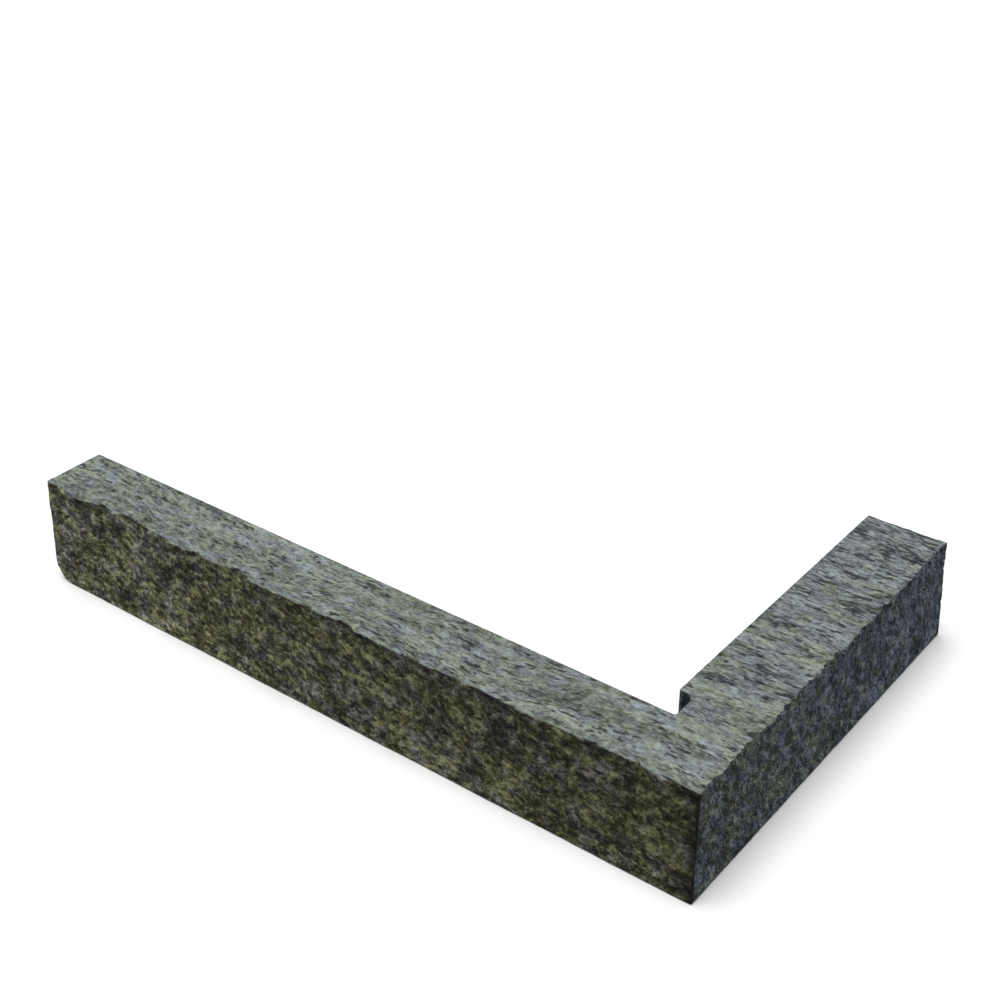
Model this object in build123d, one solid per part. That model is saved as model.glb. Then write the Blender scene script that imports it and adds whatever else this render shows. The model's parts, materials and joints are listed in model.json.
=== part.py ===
# Stone veneer corner: one L-shaped piece of foliated stone that turns a clad wall round an outside corner.
# It lies on its lower bed, +Z up, in millimetres. The long leg runs along X, the return along Y.
# The origin is on the lower bed, under the middle of the outline.
from build123d import *
import math
import os

# Legs, measured over the outer faces
long_leg = 334.0
return_leg = 201.0
course_height = 50.0
long_leg_depth = 32.0
return_depth = 36.5

# The return's end leans back from its foot to its top
end_rake = 6.0

# Relief sawn into the return at the inside corner, in line with the back of the long leg
relief_width = 13.0
relief_depth = 6.5
relief_round = 4.0

# Broken edges: the lower corner of the long leg's end, and the arrises round the riven faces
toe_radius = 10.0
outer_arris = 1.0

# Riven outer faces. Each wave has a depth from crest to hollow and a length from crest to crest, both
# at the upper arris, and the place of one crest there, from the start of its leg. The waves die away
# downwards, to a share at the foot.
front_swell_depth = 1.5
front_swell_length = 400.0
front_swell_crest = 215.0
front_ripple_depth = 1.0
front_ripple_length = 60.0
front_ripple_crest = 202.0
return_swell_depth = 0.4
return_swell_length = 170.0
return_swell_crest = 120.0
return_ripple_depth = 0.5
return_ripple_length = 27.0
return_ripple_crest = 27.0
foot_share = 0.1

# How far a crest drifts along its face from bed to bed: swells one way, ripples the other
crest_drift = 20.0

# The blank is sawn this much too large where its outer faces are split off. A riven face is fitted this
# closely to so many points in each ripple, by curves of these degrees, and overshoots the stone
split_allowance = 5.0
points_per_ripple = 6
riven_tolerance = 0.001
lowest_degree = 3
highest_degree = 5
riven_overshoot = 15.0

left = -long_leg / 2
right = long_leg / 2
front = -return_leg / 2
rear = return_leg / 2
back_of_long_leg = front + long_leg_depth
back_of_return = right - return_depth


def wave(along, depth, length, crest):
    return depth * (1 - math.cos(2 * math.pi * (along - crest) / length)) / 2


def wave_share(up):
    return foot_share + (1 - foot_share) * up / course_height


def front_hollow(along, up):
    drift = crest_drift * (1 - up / course_height)
    swell = wave(along - drift, front_swell_depth, front_swell_length, front_swell_crest)
    ripple = wave(along + drift, front_ripple_depth, front_ripple_length, front_ripple_crest)
    return wave_share(up) * (swell + ripple)


def return_hollow(along, up):
    drift = crest_drift * (1 - up / course_height)
    swell = wave(along - drift, return_swell_depth, return_swell_length, return_swell_crest)
    ripple = wave(along + drift, return_ripple_depth, return_ripple_length, return_ripple_crest)
    return wave_share(up) * (swell + ripple)


def on_front(along, up):
    return (left + along, front + front_hollow(along, up), up)


def on_return(along, up):
    return (right - return_hollow(along, up), front + along, up)


def evenly(start, stop, step):
    count = math.ceil((stop - start) / step)
    return [start + (stop - start) * i / count for i in range(count + 1)]


def split_off(on_face, face_length, ripple_length, outward):
    """The stone outside a riven face, which is split off the sawn blank."""
    step = ripple_length / points_per_ripple
    along_steps = evenly(-riven_overshoot, face_length + riven_overshoot, step)
    up_steps = evenly(-riven_overshoot, course_height + riven_overshoot, step)
    points = [[on_face(along, up) for up in up_steps] for along in along_steps]
    riven = Face.make_surface_from_array_of_points(
        points, tol=riven_tolerance, min_deg=lowest_degree, max_deg=highest_degree
    )
    return extrude(riven, amount=riven_overshoot, dir=outward)


def sawn_blank():
    """L outline sawn to height, oversize where it is split, with its relief, raked end and broken toe."""
    outline = Polyline(
        (left, front - split_allowance),
        (right + split_allowance, front - split_allowance),
        (right + split_allowance, rear),
        (back_of_return, rear),
        (back_of_return, back_of_long_leg),
        (left, back_of_long_leg),
        close=True,
    )
    blank = extrude(make_face(outline), amount=course_height)

    relief = Rectangle(relief_depth, relief_width, align=(Align.MIN, Align.MIN))
    far_corner = relief.vertices().sort_by(Axis.X)[-2:].sort_by(Axis.Y)[-1]
    relief = Pos(back_of_return, back_of_long_leg) * fillet(far_corner, relief_round)
    blank -= extrude(relief, amount=course_height)

    rake = Polyline((rear, 0), (rear, course_height), (rear - end_rake, course_height), close=True)
    blank -= extrude(Plane.YZ.offset(left) * make_face(rake), amount=long_leg + split_allowance)

    toe = blank.edges().filter_by(Axis.Y).group_by(Axis.X)[0].sort_by(Axis.Z)[0]
    return fillet(toe, toe_radius)


def stone_corner():
    """The blank with both outer faces riven and the arrises round them broken."""
    stone = sawn_blank()
    stone -= split_off(on_front, long_leg, front_ripple_length, (0, -1, 0))
    stone -= split_off(on_return, return_leg, return_ripple_length, (1, 0, 0))
    riven_faces = stone.faces().filter_by(GeomType.BSPLINE)
    return fillet(riven_faces.edges(), outer_arris)


os.makedirs("parts", exist_ok=True)
corner = stone_corner()
print("solids", len(corner.solids()), "valid", corner.is_valid, "volume", round(corner.volume))
print("box", corner.bounding_box().min, corner.bounding_box().max)
export_step(corner, "parts/stone_corner.step")
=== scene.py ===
import bmesh
import bpy
import json
import math
import numpy as np
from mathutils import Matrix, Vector


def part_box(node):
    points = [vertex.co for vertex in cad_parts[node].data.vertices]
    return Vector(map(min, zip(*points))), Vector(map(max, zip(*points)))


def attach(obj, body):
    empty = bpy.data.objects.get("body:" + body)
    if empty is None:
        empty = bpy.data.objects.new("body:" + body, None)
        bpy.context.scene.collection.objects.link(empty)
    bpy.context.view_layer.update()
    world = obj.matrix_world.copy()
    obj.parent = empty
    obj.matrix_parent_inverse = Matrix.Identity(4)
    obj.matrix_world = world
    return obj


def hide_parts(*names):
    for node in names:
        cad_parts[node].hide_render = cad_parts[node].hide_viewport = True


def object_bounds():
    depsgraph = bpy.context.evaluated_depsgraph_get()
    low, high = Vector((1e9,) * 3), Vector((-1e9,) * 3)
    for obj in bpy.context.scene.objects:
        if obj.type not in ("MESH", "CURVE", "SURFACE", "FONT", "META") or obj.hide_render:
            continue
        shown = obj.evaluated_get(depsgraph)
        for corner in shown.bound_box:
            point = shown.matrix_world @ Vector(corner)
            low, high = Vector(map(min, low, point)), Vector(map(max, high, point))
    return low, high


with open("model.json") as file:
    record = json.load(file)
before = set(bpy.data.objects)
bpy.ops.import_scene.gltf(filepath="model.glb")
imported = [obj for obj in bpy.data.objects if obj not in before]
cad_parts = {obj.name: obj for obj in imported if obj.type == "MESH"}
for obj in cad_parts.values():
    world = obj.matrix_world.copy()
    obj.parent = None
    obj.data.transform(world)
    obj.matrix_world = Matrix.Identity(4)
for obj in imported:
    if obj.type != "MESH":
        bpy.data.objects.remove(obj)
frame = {"nodes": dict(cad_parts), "record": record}
cadLow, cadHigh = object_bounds()
mounts = {m["name"]: m["pos_m"] for m in frame["record"]["mounts"]}
mm = 0.001
print("frame loaded:", ", ".join(frame["nodes"]))


def deselectAll():
    bpy.ops.object.select_all(action="DESELECT")


def pickFaces(obj, test):
    form = bmesh.from_edit_mesh(obj.data)
    bpy.ops.mesh.select_mode(type="FACE")
    bpy.ops.mesh.select_all(action="DESELECT")
    for face in form.faces:
        face.select_set(test(face.calc_center_median()))
    bmesh.update_edit_mesh(obj.data)


def pickEdges(obj, test):
    form = bmesh.from_edit_mesh(obj.data)
    bpy.ops.mesh.select_mode(type="EDGE")
    bpy.ops.mesh.select_all(action="DESELECT")
    for edge in form.edges:
        edge.select_set(all(test(v.co) for v in edge.verts))
    bmesh.update_edit_mesh(obj.data)


def near(a, b):
    return abs(a - b) < 0.05 * mm      # far finer than any step in the blank


def cutAcross(x=None, y=None):
    bpy.ops.mesh.select_all(action="SELECT")
    if x is not None:
        bpy.ops.mesh.bisect(plane_co=(x, 0, 0), plane_no=(1, 0, 0))
    else:
        bpy.ops.mesh.bisect(plane_co=(0, y, 0), plane_no=(0, 1, 0))


def useModifier(obj, kind, **settings):
    bpy.context.view_layer.objects.active = obj
    mod = obj.modifiers.new(kind, kind)
    for key, value in settings.items():
        setattr(mod, key, value)
    bpy.ops.object.modifier_apply(modifier=mod.name)


# the stone, in millimetres; its outline and height come from the frame
stone = {
    "reliefWidth": 13.0,       # notch sawn into the inside corner
    "reliefDepth": 6.5,
    "reliefRound": 4.0,
    "reliefSegments": 5,
    "endRake": 6.0,            # the return's end leans back from foot to top
    "toeRadius": 10.0,         # lower corner of the long leg's end
    "toeSegments": 10,
    "voxel": 0.55,
    "trianglesKept": 190000,
}
left, front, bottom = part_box("stone_corner")[0]
right, rear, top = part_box("stone_corner")[1]
longBack = mounts["long_leg_back"][1]
returnBack = mounts["return_back"][0]
reliefEnd = returnBack + stone["reliefDepth"] * mm
reliefFar = longBack + stone["reliefWidth"] * mm


def isCutAway(c):
    overRelief = c.x < reliefEnd and c.y < reliefFar
    return c.y > longBack and (c.x < returnBack or overRelief)


# L blank: a sheet the size of the outline, with the wall's corner and the relief cut out of it
deselectAll()
middle = ((left + right) / 2, (front + rear) / 2, bottom)
bpy.ops.mesh.primitive_plane_add(size=1, location=middle)
piece = bpy.context.object
piece.name = "stoneCorner"
piece.scale = (right - left, rear - front, 1)
bpy.ops.object.transform_apply(location=True, rotation=True, scale=True)

bpy.ops.object.mode_set(mode="EDIT")
cutAcross(x=returnBack)
cutAcross(x=reliefEnd)
cutAcross(y=longBack)
cutAcross(y=reliefFar)
pickFaces(piece, isCutAway)
bpy.ops.mesh.delete(type="FACE")
bpy.ops.mesh.select_all(action="SELECT")
bpy.ops.mesh.dissolve_limited(angle_limit=math.radians(1))

# pulled up to the course height
bpy.ops.mesh.select_all(action="SELECT")
bpy.ops.mesh.extrude_region_move(TRANSFORM_OT_translate={"value": (0, 0, top - bottom)})
bpy.ops.mesh.select_all(action="SELECT")
bpy.ops.mesh.normals_make_consistent(inside=False)

# raked end, round corner of the relief, round toe
pickEdges(piece, lambda p: near(p.y, rear) and near(p.z, top))
bpy.ops.transform.translate(value=(0, -stone["endRake"] * mm, 0))
pickEdges(piece, lambda p: near(p.x, reliefEnd) and near(p.y, reliefFar))
bpy.ops.mesh.bevel(offset=stone["reliefRound"] * mm, segments=stone["reliefSegments"])
pickEdges(piece, lambda p: near(p.x, left) and near(p.z, bottom))
bpy.ops.mesh.bevel(offset=stone["toeRadius"] * mm, segments=stone["toeSegments"])
bpy.ops.object.mode_set(mode="OBJECT")
print("blank shaped:", len(piece.data.polygons), "faces")

useModifier(piece, "REMESH", mode="VOXEL", voxel_size=stone["voxel"] * mm, use_smooth_shade=True)
print("remeshed:", len(piece.data.vertices), "points")


def places(obj):
    flat = np.empty(len(obj.data.vertices) * 3, np.float32)
    obj.data.vertices.foreach_get("co", flat)
    return flat.reshape(-1, 3).astype(float)


def normalsOf(obj):
    flat = np.empty(len(obj.data.vertices) * 3, np.float32)
    obj.data.vertices.foreach_get("normal", flat)
    return flat.reshape(-1, 3).astype(float)


def movePoints(obj, points):
    obj.data.vertices.foreach_set("co", points.astype(np.float32).ravel())
    obj.data.update()


def ramp(value, low, high):
    share = np.clip((value - low) / (high - low), 0, 1)
    return share * share * (3 - 2 * share)


def fade(gap, span):
    return ramp(gap, span[0] * mm, span[1] * mm)


def partly(share, least):
    return least + (1 - least) * share


# how far each point of the plain blank is from its faces
blank = places(piece)
facing = normalsOf(piece)
toFront = blank[:, 1] - front
toReturn = right - blank[:, 0]
toLeft = blank[:, 0] - left
toTop = top - blank[:, 2]
toFoot = blank[:, 2] - bottom
rakeHere = stone["endRake"] * mm * toFoot / (top - bottom)
toRear = rear - rakeHere - blank[:, 1]

# which face a point is on, by the share of its normal that points there
faceEdge = {
    "riven": (0.5, 0.85),
    "beds": (0.6, 0.9),
    "skin": (4.0, 2.0),        # millimetres under a riven face, from outside it to well within
}
inFrontSkin = fade(toFront, faceEdge["skin"])
inReturnSkin = fade(toReturn, faceEdge["skin"])
onFront = ramp(-facing[:, 1], *faceEdge["riven"]) * inFrontSkin
onReturn = ramp(facing[:, 0], *faceEdge["riven"]) * inReturnSkin
onBeds = ramp(np.abs(facing[:, 2]), *faceEdge["beds"])
onSawn = np.clip(1 - onFront - onReturn - onBeds, 0, 1)

# broken edges, in millimetres: how far bites reach in, and over what distance they fade out
arris = {
    "frontReach": 7.0,
    "returnReach": 5.0,
    "cornerReach": 3.0,
    "endReach": 2.0,
    "footReach": 1.6,
    "farFade": (1.0, 9.0),         # at the far ends of the two upper arrises
    "cornerFade": (1.0, 11.0),     # at the outer corner
    "endFade": (1.0, 6.0),         # of the return's end, at the return
    "calmFade": (60.0, 200.0),     # the front's arris is calmer on the return's side
    "calmShare": 0.55,
    "footFade": (0.5, 7.0),        # relief of the riven faces, down to the foot
    "footShare": 0.15,
}


def edgeShare(reach, *gaps):
    return np.clip(1 - np.sqrt(sum(g * g for g in gaps)) / (reach * mm), 0, 1)


offFoot = partly(fade(toFoot, arris["footFade"]), arris["footShare"])
offFarEnds = fade(np.minimum(toRear, toLeft), arris["farFade"])
calm = partly(fade(toReturn, arris["calmFade"]), arris["calmShare"])
frontBite = offFarEnds * fade(toReturn, arris["cornerFade"]) * calm
returnBite = offFarEnds * fade(toFront, arris["cornerFade"])
endTop = edgeShare(arris["endReach"], toRear, toTop)
endSide = edgeShare(arris["endReach"], toReturn, toRear)
frontFoot = edgeShare(arris["footReach"], toFront, toFoot)
returnFoot = edgeShare(arris["footReach"], toReturn, toFoot)
shares = {
    "front": onFront * offFoot,
    "return": onReturn * offFoot,
    "beds": onBeds,
    "sawn": onSawn,
    "frontArris": edgeShare(arris["frontReach"], toFront, toTop) * frontBite,
    "returnArris": edgeShare(arris["returnReach"], toReturn, toTop) * returnBite,
    "cornerArris": edgeShare(arris["cornerReach"], toFront, toReturn),
    "endArris": np.maximum(endTop, endSide) * fade(toReturn, arris["endFade"]),
    "footArris": np.maximum(frontFoot, returnFoot),
}
leastShare = 0.01
for name, share in shares.items():
    group = piece.vertex_groups.new(name=name)
    for index in np.nonzero(share > leastShare)[0]:
        group.add([int(index)], float(share[index]), "REPLACE")
print("faces told apart:", ", ".join(shares))

# riven faces, in millimetres: depth of a wave, its length from crest to crest, place of one crest
riven = {
    "front": {"swell": (1.5, 400.0, 215.0), "ripple": (1.0, 60.0, 202.0)},
    "return": {"swell": (0.4, 170.0, 120.0), "ripple": (0.5, 27.0, 27.0)},
    "crestDrift": 20.0,        # how far a crest wanders from bed to bed
    "footShare": 0.1,          # how much of a wave is left at the foot
    "reach": 16.0,             # depth of stone over which a wave dies away
}


def wave(along, shape):
    depth, length, crest = (v * mm for v in shape)
    return depth * (1 - np.cos(2 * np.pi * (along - crest) / length)) / 2


def hollowOf(along, face):
    rise = toFoot / (top - bottom)
    drift = riven["crestDrift"] * mm * (1 - rise)
    swell = wave(along - drift, riven[face]["swell"])
    ripple = wave(along + drift, riven[face]["ripple"])
    return partly(rise, riven["footShare"]) * (swell + ripple)


waved = blank.copy()
frontPull = np.clip(1 - toFront / (riven["reach"] * mm), 0, 1)
returnPull = np.clip(1 - toReturn / (riven["reach"] * mm), 0, 1)
waved[:, 1] += frontPull * hollowOf(toLeft, "front")
waved[:, 0] -= returnPull * hollowOf(toFront, "return")
movePoints(piece, waved)
print("riven faces waved")

# relief of each face, in millimetres: cell along x, y and z, depth, and the level that stays put
# rows with octaves are clouds, the others conchoidal bites; push is the way a bite runs in
carving = {
    "frontCleft": dict(on="front", cell=(17, 17, 13), depth=0.7, level=0.6, octaves=2),
    "frontGrain": dict(on="front", cell=(4.2, 4.2, 3.8), depth=0.7, level=0.6, octaves=2),
    "returnLayers": dict(on="return", cell=(9, 4.6, 9), depth=0.6, level=0.65, octaves=2),
    "returnGrain": dict(on="return", cell=(3, 2.2, 3), depth=0.55, level=0.65, octaves=1),
    "bedLayers": dict(on="beds", cell=(22, 2.2, 22), depth=0.28, level=1.0, octaves=2),
    "bedPits": dict(on="beds", cell=(5.5, 1.8, 5.5), depth=0.45, level=1.0, octaves=1),
    "sawnGrain": dict(on="sawn", cell=(5, 5, 5), depth=0.14, level=1.0, octaves=2),
    "frontScallops": dict(on="frontArris", cell=(13, 10, 9), depth=4.0, level=0.5, push="Y"),
    "frontNibbles": dict(on="frontArris", cell=(4.5, 4, 4), depth=1.8, level=0.5, push="Y"),
    "returnTeeth": dict(on="returnArris", cell=(8, 5, 8), depth=2.5, level=0.55, push="X"),
    "returnNibbles": dict(on="returnArris", cell=(4, 2.4, 4), depth=1.8, level=0.55, push="X"),
    "cornerChips": dict(on="cornerArris", cell=(5, 5, 9), depth=0.5, level=0.9, push="NORMAL"),
    "endNibbles": dict(on="endArris", cell=(5, 5, 5), depth=0.6, level=0.9, push="NORMAL"),
    "footNibbles": dict(on="footArris", cell=(5, 5, 5), depth=0.3, level=0.9, push="NORMAL"),
}
inward = {"NORMAL": 1, "X": 1, "Y": -1}
cloudContrast = 1.5


def carve(obj, name, spec):
    stretch = bpy.data.objects.new(name + "Stretch", None)
    bpy.context.scene.collection.objects.link(stretch)
    stretch.scale = [c * mm for c in spec["cell"]]
    bpy.context.view_layer.update()
    if "octaves" in spec:
        pattern = bpy.data.textures.new(name, "CLOUDS")
        pattern.noise_depth = spec["octaves"]
        pattern.noise_basis = "IMPROVED_PERLIN"
        pattern.contrast = cloudContrast
    else:
        pattern = bpy.data.textures.new(name, "VORONOI")
    pattern.noise_scale = 1
    push = spec.get("push", "NORMAL")
    useModifier(
        obj, "DISPLACE", texture=pattern, texture_coords="OBJECT", texture_coords_object=stretch,
        vertex_group=spec["on"], strength=inward[push] * spec["depth"] * mm,
        mid_level=spec["level"], direction=push,
    )
    bpy.data.objects.remove(stretch)


def trimToFrame(obj):
    movePoints(obj, np.clip(places(obj), list(cadLow), list(cadHigh)))


def countTriangles(obj):
    return sum(len(p.vertices) - 2 for p in obj.data.polygons)


for name, spec in carving.items():
    carve(piece, name, spec)
trimToFrame(piece)         # takes off what stands proud of the blank
print("relief carved:", ", ".join(carving))

# what the colours read: where shade is painted, in millimetres, and which face shows after chipping
shadeAndFacesShown = {
    "deepest": 2.0,                # hollow that counts as the darkest
    "shadeReach": 4.5,             # under the front's arris, and from the outer corner
    "cornerReach": 2.0,
    "reliefInset": 1.0,
    "reliefReach": 14.0,
    "notchShade": 0.8,
    "bedEdge": (0.78, 0.90),       # upright share of the normal, from riven face to bed
    "leastOutwards": 0.4,
    "showEdge": (0.3, 0.7),
}


def paintPoints(obj, name, red, green, blue):
    layer = obj.data.color_attributes.new(name, "FLOAT_COLOR", "POINT")
    rows = np.column_stack([red, green, blue, np.ones(len(red))])
    layer.data.foreach_set("color", rows.astype(np.float32).ravel())


# painted shade: a band that darkens the front under its arris and by the outer corner
def shadeBand(gap):
    return onFront * np.exp(-gap / (shadeAndFacesShown["shadeReach"] * mm))


# painted shade: in the hollows (red), under the front's arris (green), and by the outer corner and in
# the relief (blue)
sunk = np.sum((waved - places(piece)) * facing, axis=1) / (shadeAndFacesShown["deepest"] * mm)
byCorner = np.maximum(shadeBand(toReturn), edgeShare(shadeAndFacesShown["cornerReach"], toFront, toReturn))
# painted shade in the relief, where the notch's walls lie in shadow
pastBack = blank[:, 0] > returnBack + shadeAndFacesShown["reliefInset"] * mm
byNotch = np.abs(blank[:, 1] - longBack) < shadeAndFacesShown["reliefReach"] * mm
shadeInRelief = shadeAndFacesShown["notchShade"] * onSawn * pastBack * byNotch
paintPoints(piece, "paintedShade", np.clip(sunk, 0, 1), shadeBand(toTop), np.maximum(byCorner, shadeInRelief))

carvedFacing = normalsOf(piece)
sideways = 1 - ramp(np.abs(carvedFacing[:, 2]), *shadeAndFacesShown["bedEdge"])
towardsFront = np.clip(-carvedFacing[:, 1], 0, 1)
towardsReturn = np.clip(carvedFacing[:, 0], 0, 1)
outwards = np.maximum(towardsFront + towardsReturn, shadeAndFacesShown["leastOutwards"])
frontShows = sideways * inFrontSkin * towardsFront / outwards
returnShows = sideways * inReturnSkin * towardsReturn / outwards
rivenFace = ramp(frontShows + returnShows, *shadeAndFacesShown["showEdge"])
returnFace = ramp(returnShows, *shadeAndFacesShown["showEdge"])
paintPoints(piece, "faceShare", rivenFace, returnFace, onBeds)

useModifier(piece, "DECIMATE", ratio=min(1, stone["trianglesKept"] / countTriangles(piece)))
trimToFrame(piece)
deselectAll()
piece.select_set(True)
bpy.context.view_layer.objects.active = piece
bpy.ops.object.shade_smooth()
print("stone finished:", countTriangles(piece), "triangles")


def addNode(tree, kind, **settings):
    node = tree.nodes.new(kind)
    for key, value in settings.items():
        setattr(node, key, value)
    return node


def feed(tree, socket, value):
    if isinstance(value, bpy.types.NodeSocket):
        tree.links.new(value, socket)
    else:
        socket.default_value = value


def fitted(tree, place, cell, shift):
    fit = addNode(tree, "ShaderNodeMapping")
    fit.inputs["Scale"].default_value = [1 / (c * mm) for c in cell]
    fit.inputs["Location"].default_value = shift
    tree.links.new(place, fit.inputs["Vector"])
    return fit.outputs["Vector"]


def cloud(tree, place, cell, octaves, shift=(0, 0, 0), output="Fac"):
    noise = addNode(tree, "ShaderNodeTexNoise")
    noise.inputs["Scale"].default_value = 1.0
    noise.inputs["Detail"].default_value = octaves
    noise.inputs["Roughness"].default_value = 0.6
    tree.links.new(fitted(tree, place, cell, shift), noise.inputs["Vector"])
    return noise.outputs[output]


def crystals(tree, place, cell, shift):
    cells = addNode(tree, "ShaderNodeTexVoronoi")
    cells.inputs["Scale"].default_value = 1.0
    tree.links.new(fitted(tree, place, cell, shift), cells.inputs["Vector"])
    split = addNode(tree, "ShaderNodeSeparateColor")
    tree.links.new(cells.outputs["Color"], split.inputs["Color"])
    return split.outputs[0]


def wandering(tree, place, over, by):
    swirl = cloud(tree, place, over, 1.0, output="Color")
    centred = addNode(tree, "ShaderNodeVectorMath", operation="SUBTRACT")
    tree.links.new(swirl, centred.inputs[0])
    centred.inputs[1].default_value = (0.5, 0.5, 0.5)
    moved = addNode(tree, "ShaderNodeVectorMath", operation="MULTIPLY_ADD")
    tree.links.new(centred.outputs[0], moved.inputs[0])
    moved.inputs[1].default_value = [b * mm for b in by]
    tree.links.new(place, moved.inputs[2])
    return moved.outputs[0]


def sums(tree, how, a, b):
    node = addNode(tree, "ShaderNodeMath", operation=how)
    feed(tree, node.inputs[0], a)
    feed(tree, node.inputs[1], b)
    return node.outputs[0]


def around(tree, value, amount):
    return sums(tree, "MULTIPLY", sums(tree, "SUBTRACT", value, 0.5), amount)


def total(tree, noises, weights):
    result = 0.5
    for name, weight in weights.items():
        result = sums(tree, "ADD", result, around(tree, noises[name], weight))
    return result


def channels(tree, name):
    attribute = addNode(tree, "ShaderNodeAttribute", attribute_name=name)
    split = addNode(tree, "ShaderNodeSeparateColor")
    tree.links.new(attribute.outputs["Color"], split.inputs["Color"])
    return split.outputs


def spread(tree, value, low, high, outLow=0.0, outHigh=1.0):
    node = addNode(tree, "ShaderNodeMapRange", interpolation_type="SMOOTHSTEP")
    for index, item in enumerate((value, low, high, outLow, outHigh)):
        feed(tree, node.inputs[index], item)
    return node.outputs[0]


def blend(tree, how, share, a, b):
    node = addNode(tree, "ShaderNodeMix", data_type="RGBA", blend_type=how)
    colours = [i for i in node.inputs if i.type == "RGBA"]
    feed(tree, node.inputs[0], share)
    feed(tree, colours[0], a)
    feed(tree, colours[1], b)
    return [o for o in node.outputs if o.type == "RGBA"][0]


def paint(code):
    parts = [int(code[i:i + 2], 16) / 255 for i in (0, 2, 4)]
    linear = [p / 12.92 if p <= 0.04045 else ((p + 0.055) / 1.055) ** 2.4 for p in parts]
    return linear + [1.0]


def colourRamp(tree, value, levels, shades):
    node = addNode(tree, "ShaderNodeValToRGB")
    elements = node.color_ramp.elements
    while len(elements) < len(levels):
        elements.new(0.5)
    for element, place, code in zip(elements, levels, shades):
        element.position = place
        element.color = paint(code)
    tree.links.new(value, node.inputs["Fac"])
    return node.outputs["Color"]


# each kind of face: how its grains mix, stone from dark mica to pale quartz, and the tints in it; the
# front's warm olive and the return's cool blue-grey are partly the stone's own and partly painted warm
# and cool light
faceLooks = {
    "sawn": {
        "mix": {
            "flakes": 0.08, "chips": 0.10, "fine": 0.3, "grain": 0.5, "dashes": 0.5,
            "knots": 0.5, "clumps": 0.25, "bands": 0.5, "blotches": 0.15,
        },
        "levels": (0.29, 0.36, 0.45, 0.50, 0.56, 0.66, 0.73),
        "shades": ("4c4e4c", "5e615f", "727673", "7d827f", "898f8b", "99a09c", "a4aba7"),
        "cool": (0.95, 0.97, 1.08),
        "olive": (0.99, 1.02, 0.88),
        "rust": (1.14, 0.96, 0.88),
    },
    "front": {
        "mix": {
            "flakes": 0.20, "chips": 0.22, "fine": 0.6, "grain": 0.6, "dashes": 0.8,
            "knots": 0.7, "clumps": 0.45, "bands": 0.1, "blotches": 0.45,
        },
        "levels": (0.22, 0.30, 0.42, 0.50, 0.585, 0.71, 0.80),
        "shades": ("26241f", "32312a", "4b4b40", "5b5c4e", "717261", "91927d", "a8a994"),
        "cool": (0.98, 0.95, 1.20),
        "olive": (1.03, 1.05, 0.78),
        "rust": (1.16, 0.98, 0.82),
    },
    "return": {
        "mix": {
            "flakes": 0.16, "chips": 0.20, "fine": 0.8, "grain": 0.5, "dashes": 0.2,
            "knots": 1.1, "clumps": 0.5, "bands": 0.2, "blotches": 0.3,
        },
        "levels": (0.25, 0.32, 0.43, 0.50, 0.58, 0.70, 0.79),
        "shades": ("242628", "313536", "464b4d", "545a5d", "646b6f", "7e868a", "919b9f"),
        "cool": (0.93, 0.955, 1.15),
        "olive": (1.06, 1.03, 0.82),
        "rust": (1.16, 0.98, 0.88),
    },
}

# grain sizes in millimetres along x, y, z; layers lie parallel to the front, so grains are thin along y
grains = {
    "flakes": (2.6, 1.2, 2.1),
    "chips": (1.5, 0.9, 1.3),
    "fine": (1.2, 0.9, 1.0),
    "grain": (2.2, 1.1, 1.7),
    "dashes": (5.0, 1.5, 3.2),
    "knots": (6.5, 3.2, 4.5),
    "clumps": (13.0, 5.0, 9.0),
    "bands": (70.0, 9.0, 46.0),
    "blotches": (24.0, 14.0, 17.0),
    "hue": (7.5, 5.5, 6.5),
    "hueDrift": (30.0, 16.0, 24.0),
    "rust": (4.0, 1.8, 3.5),
    "cracks": (6.2, 1.5, 3.4),
}
crystalShift = {"flakes": (0, 0, 0), "chips": (3, 5, 2)}       # these two are cells, the rest clouds
softer = {"bands": 2.0, "fine": 2.0, "hue": 1.0, "hueDrift": 1.0, "cracks": 2.0}
octavesElse = 3.0
cloudStep = (11, 7, 5)         # sets each cloud apart from the one before

# how far layers wander, in millimetres, over what distance
wanders = {
    "slow": {"over": (85, 60, 85), "by": (0, 18, 0)},
    "curl": {"over": (7, 5, 7), "by": (1.2, 1.8, 1.2)},
}

# what lies over the grain; an edge is the span of noise over which something sets in
surface = {
    "returnLean": 0.5,                 # slope of the layers where the return cuts them
    "warmMix": {"hue": 1.0, "hueDrift": 0.4},
    "warmAlongY": (0.04, -0.13),       # olive at the front, cool at the return's end
    "warmEdge": (0.36, 0.64),
    "rustEdge": (0.62, 0.70),
    "crackMix": {"cracks": 1.0, "clumps": 0.3},
    "crackAlongY": (-0.015, 0.04),     # more of them towards the return's end
    "crackEdge": (0.565, 0.63),
    "crackOffBeds": 0.35,
    "crackTint": (0.25, 0.26, 0.26, 1),
    # painted shade: its patches under the front's arris, where it sets in, and its bluish-black tint
    "shadePatches": (0.4, 0.6),
    "shadeEdge": (0.0, 0.9),
    "shadeTint": (0.25, 0.25, 0.30, 1),
    "sunkEdge": (0.15, 0.7),
    "sunkShade": (1.0, 0.5),
    "frontAlongX": (1.22, 0.66),       # the front darkens towards the outer corner
    "footHeight": 32.0,                # millimetres over which the riven faces are paler
    "frontFoot": (1.25, 0.93),
    "returnFoot": (1.15, 0.95),
    "roughEdge": (0.3, 0.7),
    "roughness": (0.68, 0.88),
    "specular": 0.06,
    "bumpMix": {"grain": 1.0, "fine": 0.5, "dashes": 0.5},
    "bumpOnSawn": 0.4,
    "bumpStrength": 0.8,
    "bumpDepth": 1.2,
}
untinted = (1, 1, 1, 1)


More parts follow.
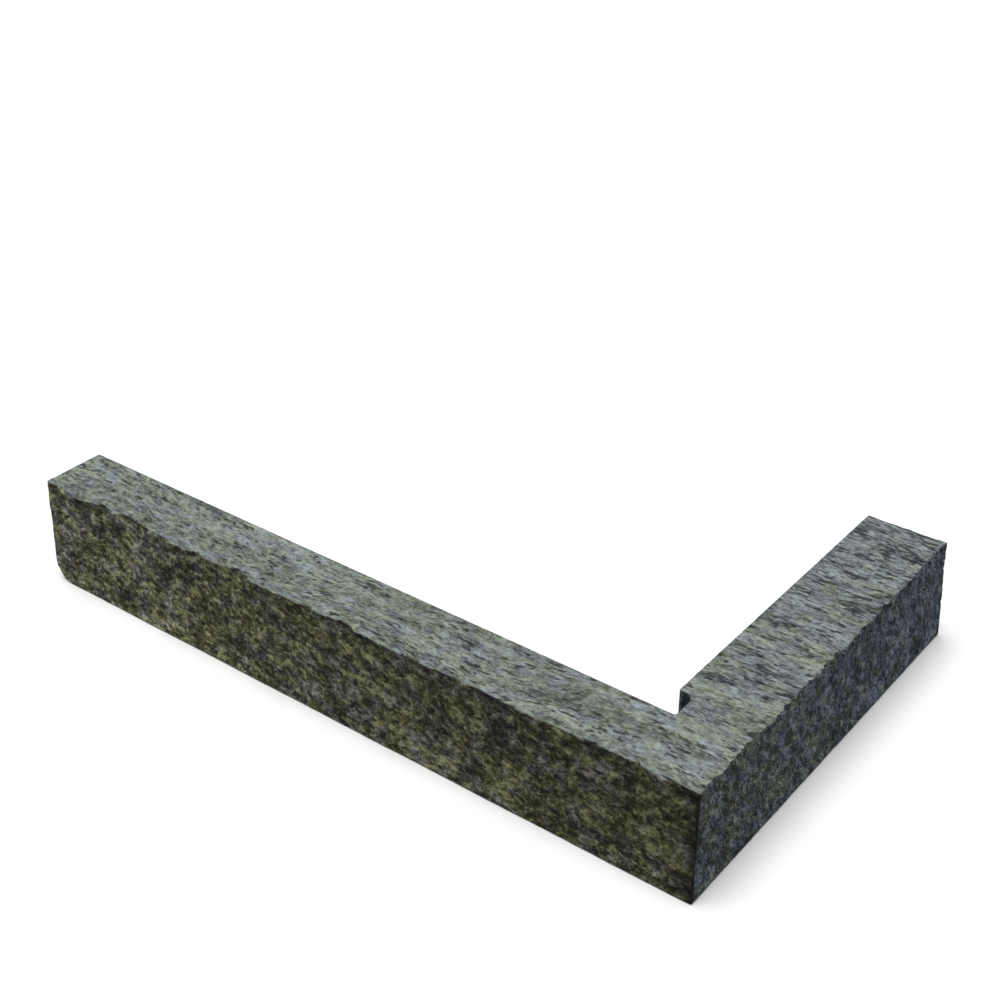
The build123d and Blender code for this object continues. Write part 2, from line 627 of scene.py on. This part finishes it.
def stoneMaterial():
    mat = bpy.data.materials.new("foliatedStone")
    mat.use_nodes = True
    tree = mat.node_tree
    shader = tree.nodes["Principled BSDF"]
    place = addNode(tree, "ShaderNodeTexCoord").outputs["Object"]
    axes = addNode(tree, "ShaderNodeSeparateXYZ")
    tree.links.new(place, axes.inputs[0])
    along = axes.outputs
    onRivenFace, onReturnFace, onBed = channels(tree, "faceShare")
    sunkShare, underArris, cornerShade = channels(tree, "paintedShade")

    def byFace(sawn, frontOne, returnOne):
        outer = blend(tree, "MIX", onRivenFace, sawn, frontOne)
        return blend(tree, "MIX", onReturnFace, outer, returnOne)

    def tint(name):
        return byFace(*((*look[name], 1) for look in faceLooks.values()))

    # layers lean where the return cuts them, and wander, so streaks bend and curl
    climb = sums(tree, "MULTIPLY", along["Z"], onReturnFace)
    leaning = addNode(tree, "ShaderNodeCombineXYZ")
    tree.links.new(sums(tree, "MULTIPLY", climb, surface["returnLean"]), leaning.inputs["Y"])
    leant = addNode(tree, "ShaderNodeVectorMath", operation="ADD")
    tree.links.new(place, leant.inputs[0])
    tree.links.new(leaning.outputs[0], leant.inputs[1])
    layers = leant.outputs[0]
    for wander in wanders.values():
        layers = wandering(tree, layers, wander["over"], wander["by"])

    noises = {}
    for i, (name, cell) in enumerate(grains.items()):
        if name in crystalShift:
            noises[name] = crystals(tree, layers, cell, crystalShift[name])
        else:
            shift = [step * i for step in cloudStep]
            noises[name] = cloud(tree, layers, cell, softer.get(name, octavesElse), shift)

    # mica to quartz, then the tints
    pales = []
    for look in faceLooks.values():
        mix = total(tree, noises, look["mix"])
        pales.append(colourRamp(tree, mix, look["levels"], look["shades"]))
    colour = byFace(*pales)
    warmth = total(tree, noises, surface["warmMix"])
    warmer = spread(tree, along["Y"], front, rear, *surface["warmAlongY"])
    hue = spread(tree, sums(tree, "ADD", warmth, warmer), *surface["warmEdge"])
    hueTint = blend(tree, "MIX", hue, tint("cool"), tint("olive"))
    colour = blend(tree, "MULTIPLY", 1.0, colour, hueTint)
    rustShare = spread(tree, noises["rust"], *surface["rustEdge"])
    colour = blend(tree, "MULTIPLY", rustShare, colour, tint("rust"))

    # short dark cracks between the layers, open on the sawn faces
    gaping = total(tree, noises, surface["crackMix"])
    wider = spread(tree, along["Y"], front, rear, *surface["crackAlongY"])
    cracked = spread(tree, sums(tree, "ADD", gaping, wider), *surface["crackEdge"])
    crackShare = spread(tree, onBed, 0.0, 1.0, surface["crackOffBeds"], 1.0)
    cracked = sums(tree, "MULTIPLY", cracked, crackShare)
    crackTint = byFace(surface["crackTint"], untinted, untinted)
    colour = blend(tree, "MULTIPLY", cracked, colour, crackTint)

    # painted shade under the front's arris, in patches, by the outer corner and in the relief
    patches = spread(tree, noises["blotches"], *surface["shadePatches"])
    arrisShade = sums(tree, "MULTIPLY", underArris, patches)
    shadeShare = spread(tree, sums(tree, "MAXIMUM", arrisShade, cornerShade), *surface["shadeEdge"])
    colour = blend(tree, "MULTIPLY", shadeShare, colour, surface["shadeTint"])

    # painted shade in the hollows; darker towards the outer corner, paler at the foot
    sunkShade = spread(tree, sunkShare, *surface["sunkEdge"], *surface["sunkShade"])
    drift = spread(tree, along["X"], left, right, *surface["frontAlongX"])
    footTop = bottom + surface["footHeight"] * mm
    frontFoot = spread(tree, along["Z"], bottom, footTop, *surface["frontFoot"])
    returnFoot = spread(tree, along["Z"], bottom, footTop, *surface["returnFoot"])
    frontDrift = byFace(untinted, drift, untinted)
    foot = byFace(untinted, frontFoot, returnFoot)
    for factor in (sunkShade, frontDrift, foot):
        colour = blend(tree, "MULTIPLY", 1.0, colour, factor)
    tree.links.new(colour, shader.inputs["Base Color"])

    gloss = spread(tree, noises["grain"], *surface["roughEdge"], *surface["roughness"])
    tree.links.new(gloss, shader.inputs["Roughness"])
    shader.inputs["Specular IOR Level"].default_value = surface["specular"]
    bumpShare = spread(tree, onRivenFace, 0.0, 1.0, surface["bumpOnSawn"], 1.0)
    height = sums(tree, "MULTIPLY", total(tree, noises, surface["bumpMix"]), bumpShare)
    bump = addNode(tree, "ShaderNodeBump")
    bump.inputs["Strength"].default_value = surface["bumpStrength"]
    bump.inputs["Distance"].default_value = surface["bumpDepth"] * mm
    tree.links.new(height, bump.inputs["Height"])
    tree.links.new(bump.outputs["Normal"], shader.inputs["Normal"])
    return mat


piece.data.materials.clear()
piece.data.materials.append(stoneMaterial())
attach(piece, "root")
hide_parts("stone_corner")
print("stone coloured")

# floor, air and light
studio = {
    "floorSize": 1.8,
    "floorSeen": 1.12,         # floor as the camera sees it
    "floorBounce": 0.40,       # floor as the stone sees it
    "worldLight": 0.38,
    "keyPower": 114.0,
    "keyPlace": (-0.15, -0.57, 4.0),
    "keySize": 2.1,
}


def seenShare(tree):
    rays = addNode(tree, "ShaderNodeLightPath").outputs
    mirrored = sums(tree, "MAXIMUM", rays["Is Glossy Ray"], rays["Is Transmission Ray"])
    return sums(tree, "MAXIMUM", rays["Is Camera Ray"], mirrored)


deselectAll()
bpy.ops.mesh.primitive_plane_add(size=studio["floorSize"], location=(0, 0, bottom))
floor = bpy.context.object
floor.name = "floor"

paper = bpy.data.materials.new("palePaper")
paper.use_nodes = True
paperTree = paper.node_tree
floorShades = [[studio[name]] * 3 + [1] for name in ("floorBounce", "floorSeen")]
paperColour = blend(paperTree, "MIX", seenShare(paperTree), *floorShades)
paperShader = paperTree.nodes["Principled BSDF"]
paperTree.links.new(paperColour, paperShader.inputs["Base Color"])
paperShader.inputs["Roughness"].default_value = 1.0
paperShader.inputs["Specular IOR Level"].default_value = 0.0
floor.data.materials.append(paper)

world = bpy.data.worlds.new("studioAir")
bpy.context.scene.world = world
world.use_nodes = True
air = world.node_tree
sky = air.nodes["Background"]
sky.inputs["Color"].default_value = (1, 1, 1, 1)
strength = spread(air, seenShare(air), 0.0, 1.0, studio["worldLight"], 1.0)
air.links.new(strength, sky.inputs["Strength"])

deselectAll()
bpy.ops.object.light_add(type="AREA", location=studio["keyPlace"])
key = bpy.context.object
key.name = "keyPanel"
key.data.shape = "SQUARE"
key.data.size = studio["keySize"]
key.data.energy = studio["keyPower"]
key.rotation_euler = (-Vector(studio["keyPlace"])).to_track_quat("-Z", "Y").to_euler()

# camera, fitted to the long edges of the stone
lens = {
    "azimuth": 37.39,
    "elevation": 31.47,
    "focal": 59.37,
    "sensor": 36.0,
    "clipStart": 10.0,
    "place": (365.5, -469.1, 418.2),
}
bpy.ops.object.camera_add()
camera = bpy.context.object
camera.name = "photoCamera"
camera.data.sensor_width = lens["sensor"]
camera.data.lens = lens["focal"]
camera.data.clip_start = lens["clipStart"] * mm
camera.location = [v * mm for v in lens["place"]]
camera.rotation_euler = (math.radians(90 - lens["elevation"]), 0, math.radians(lens["azimuth"]))
bpy.context.scene.camera = camera
bpy.context.scene.view_settings.view_transform = "Standard"
print("studio set")
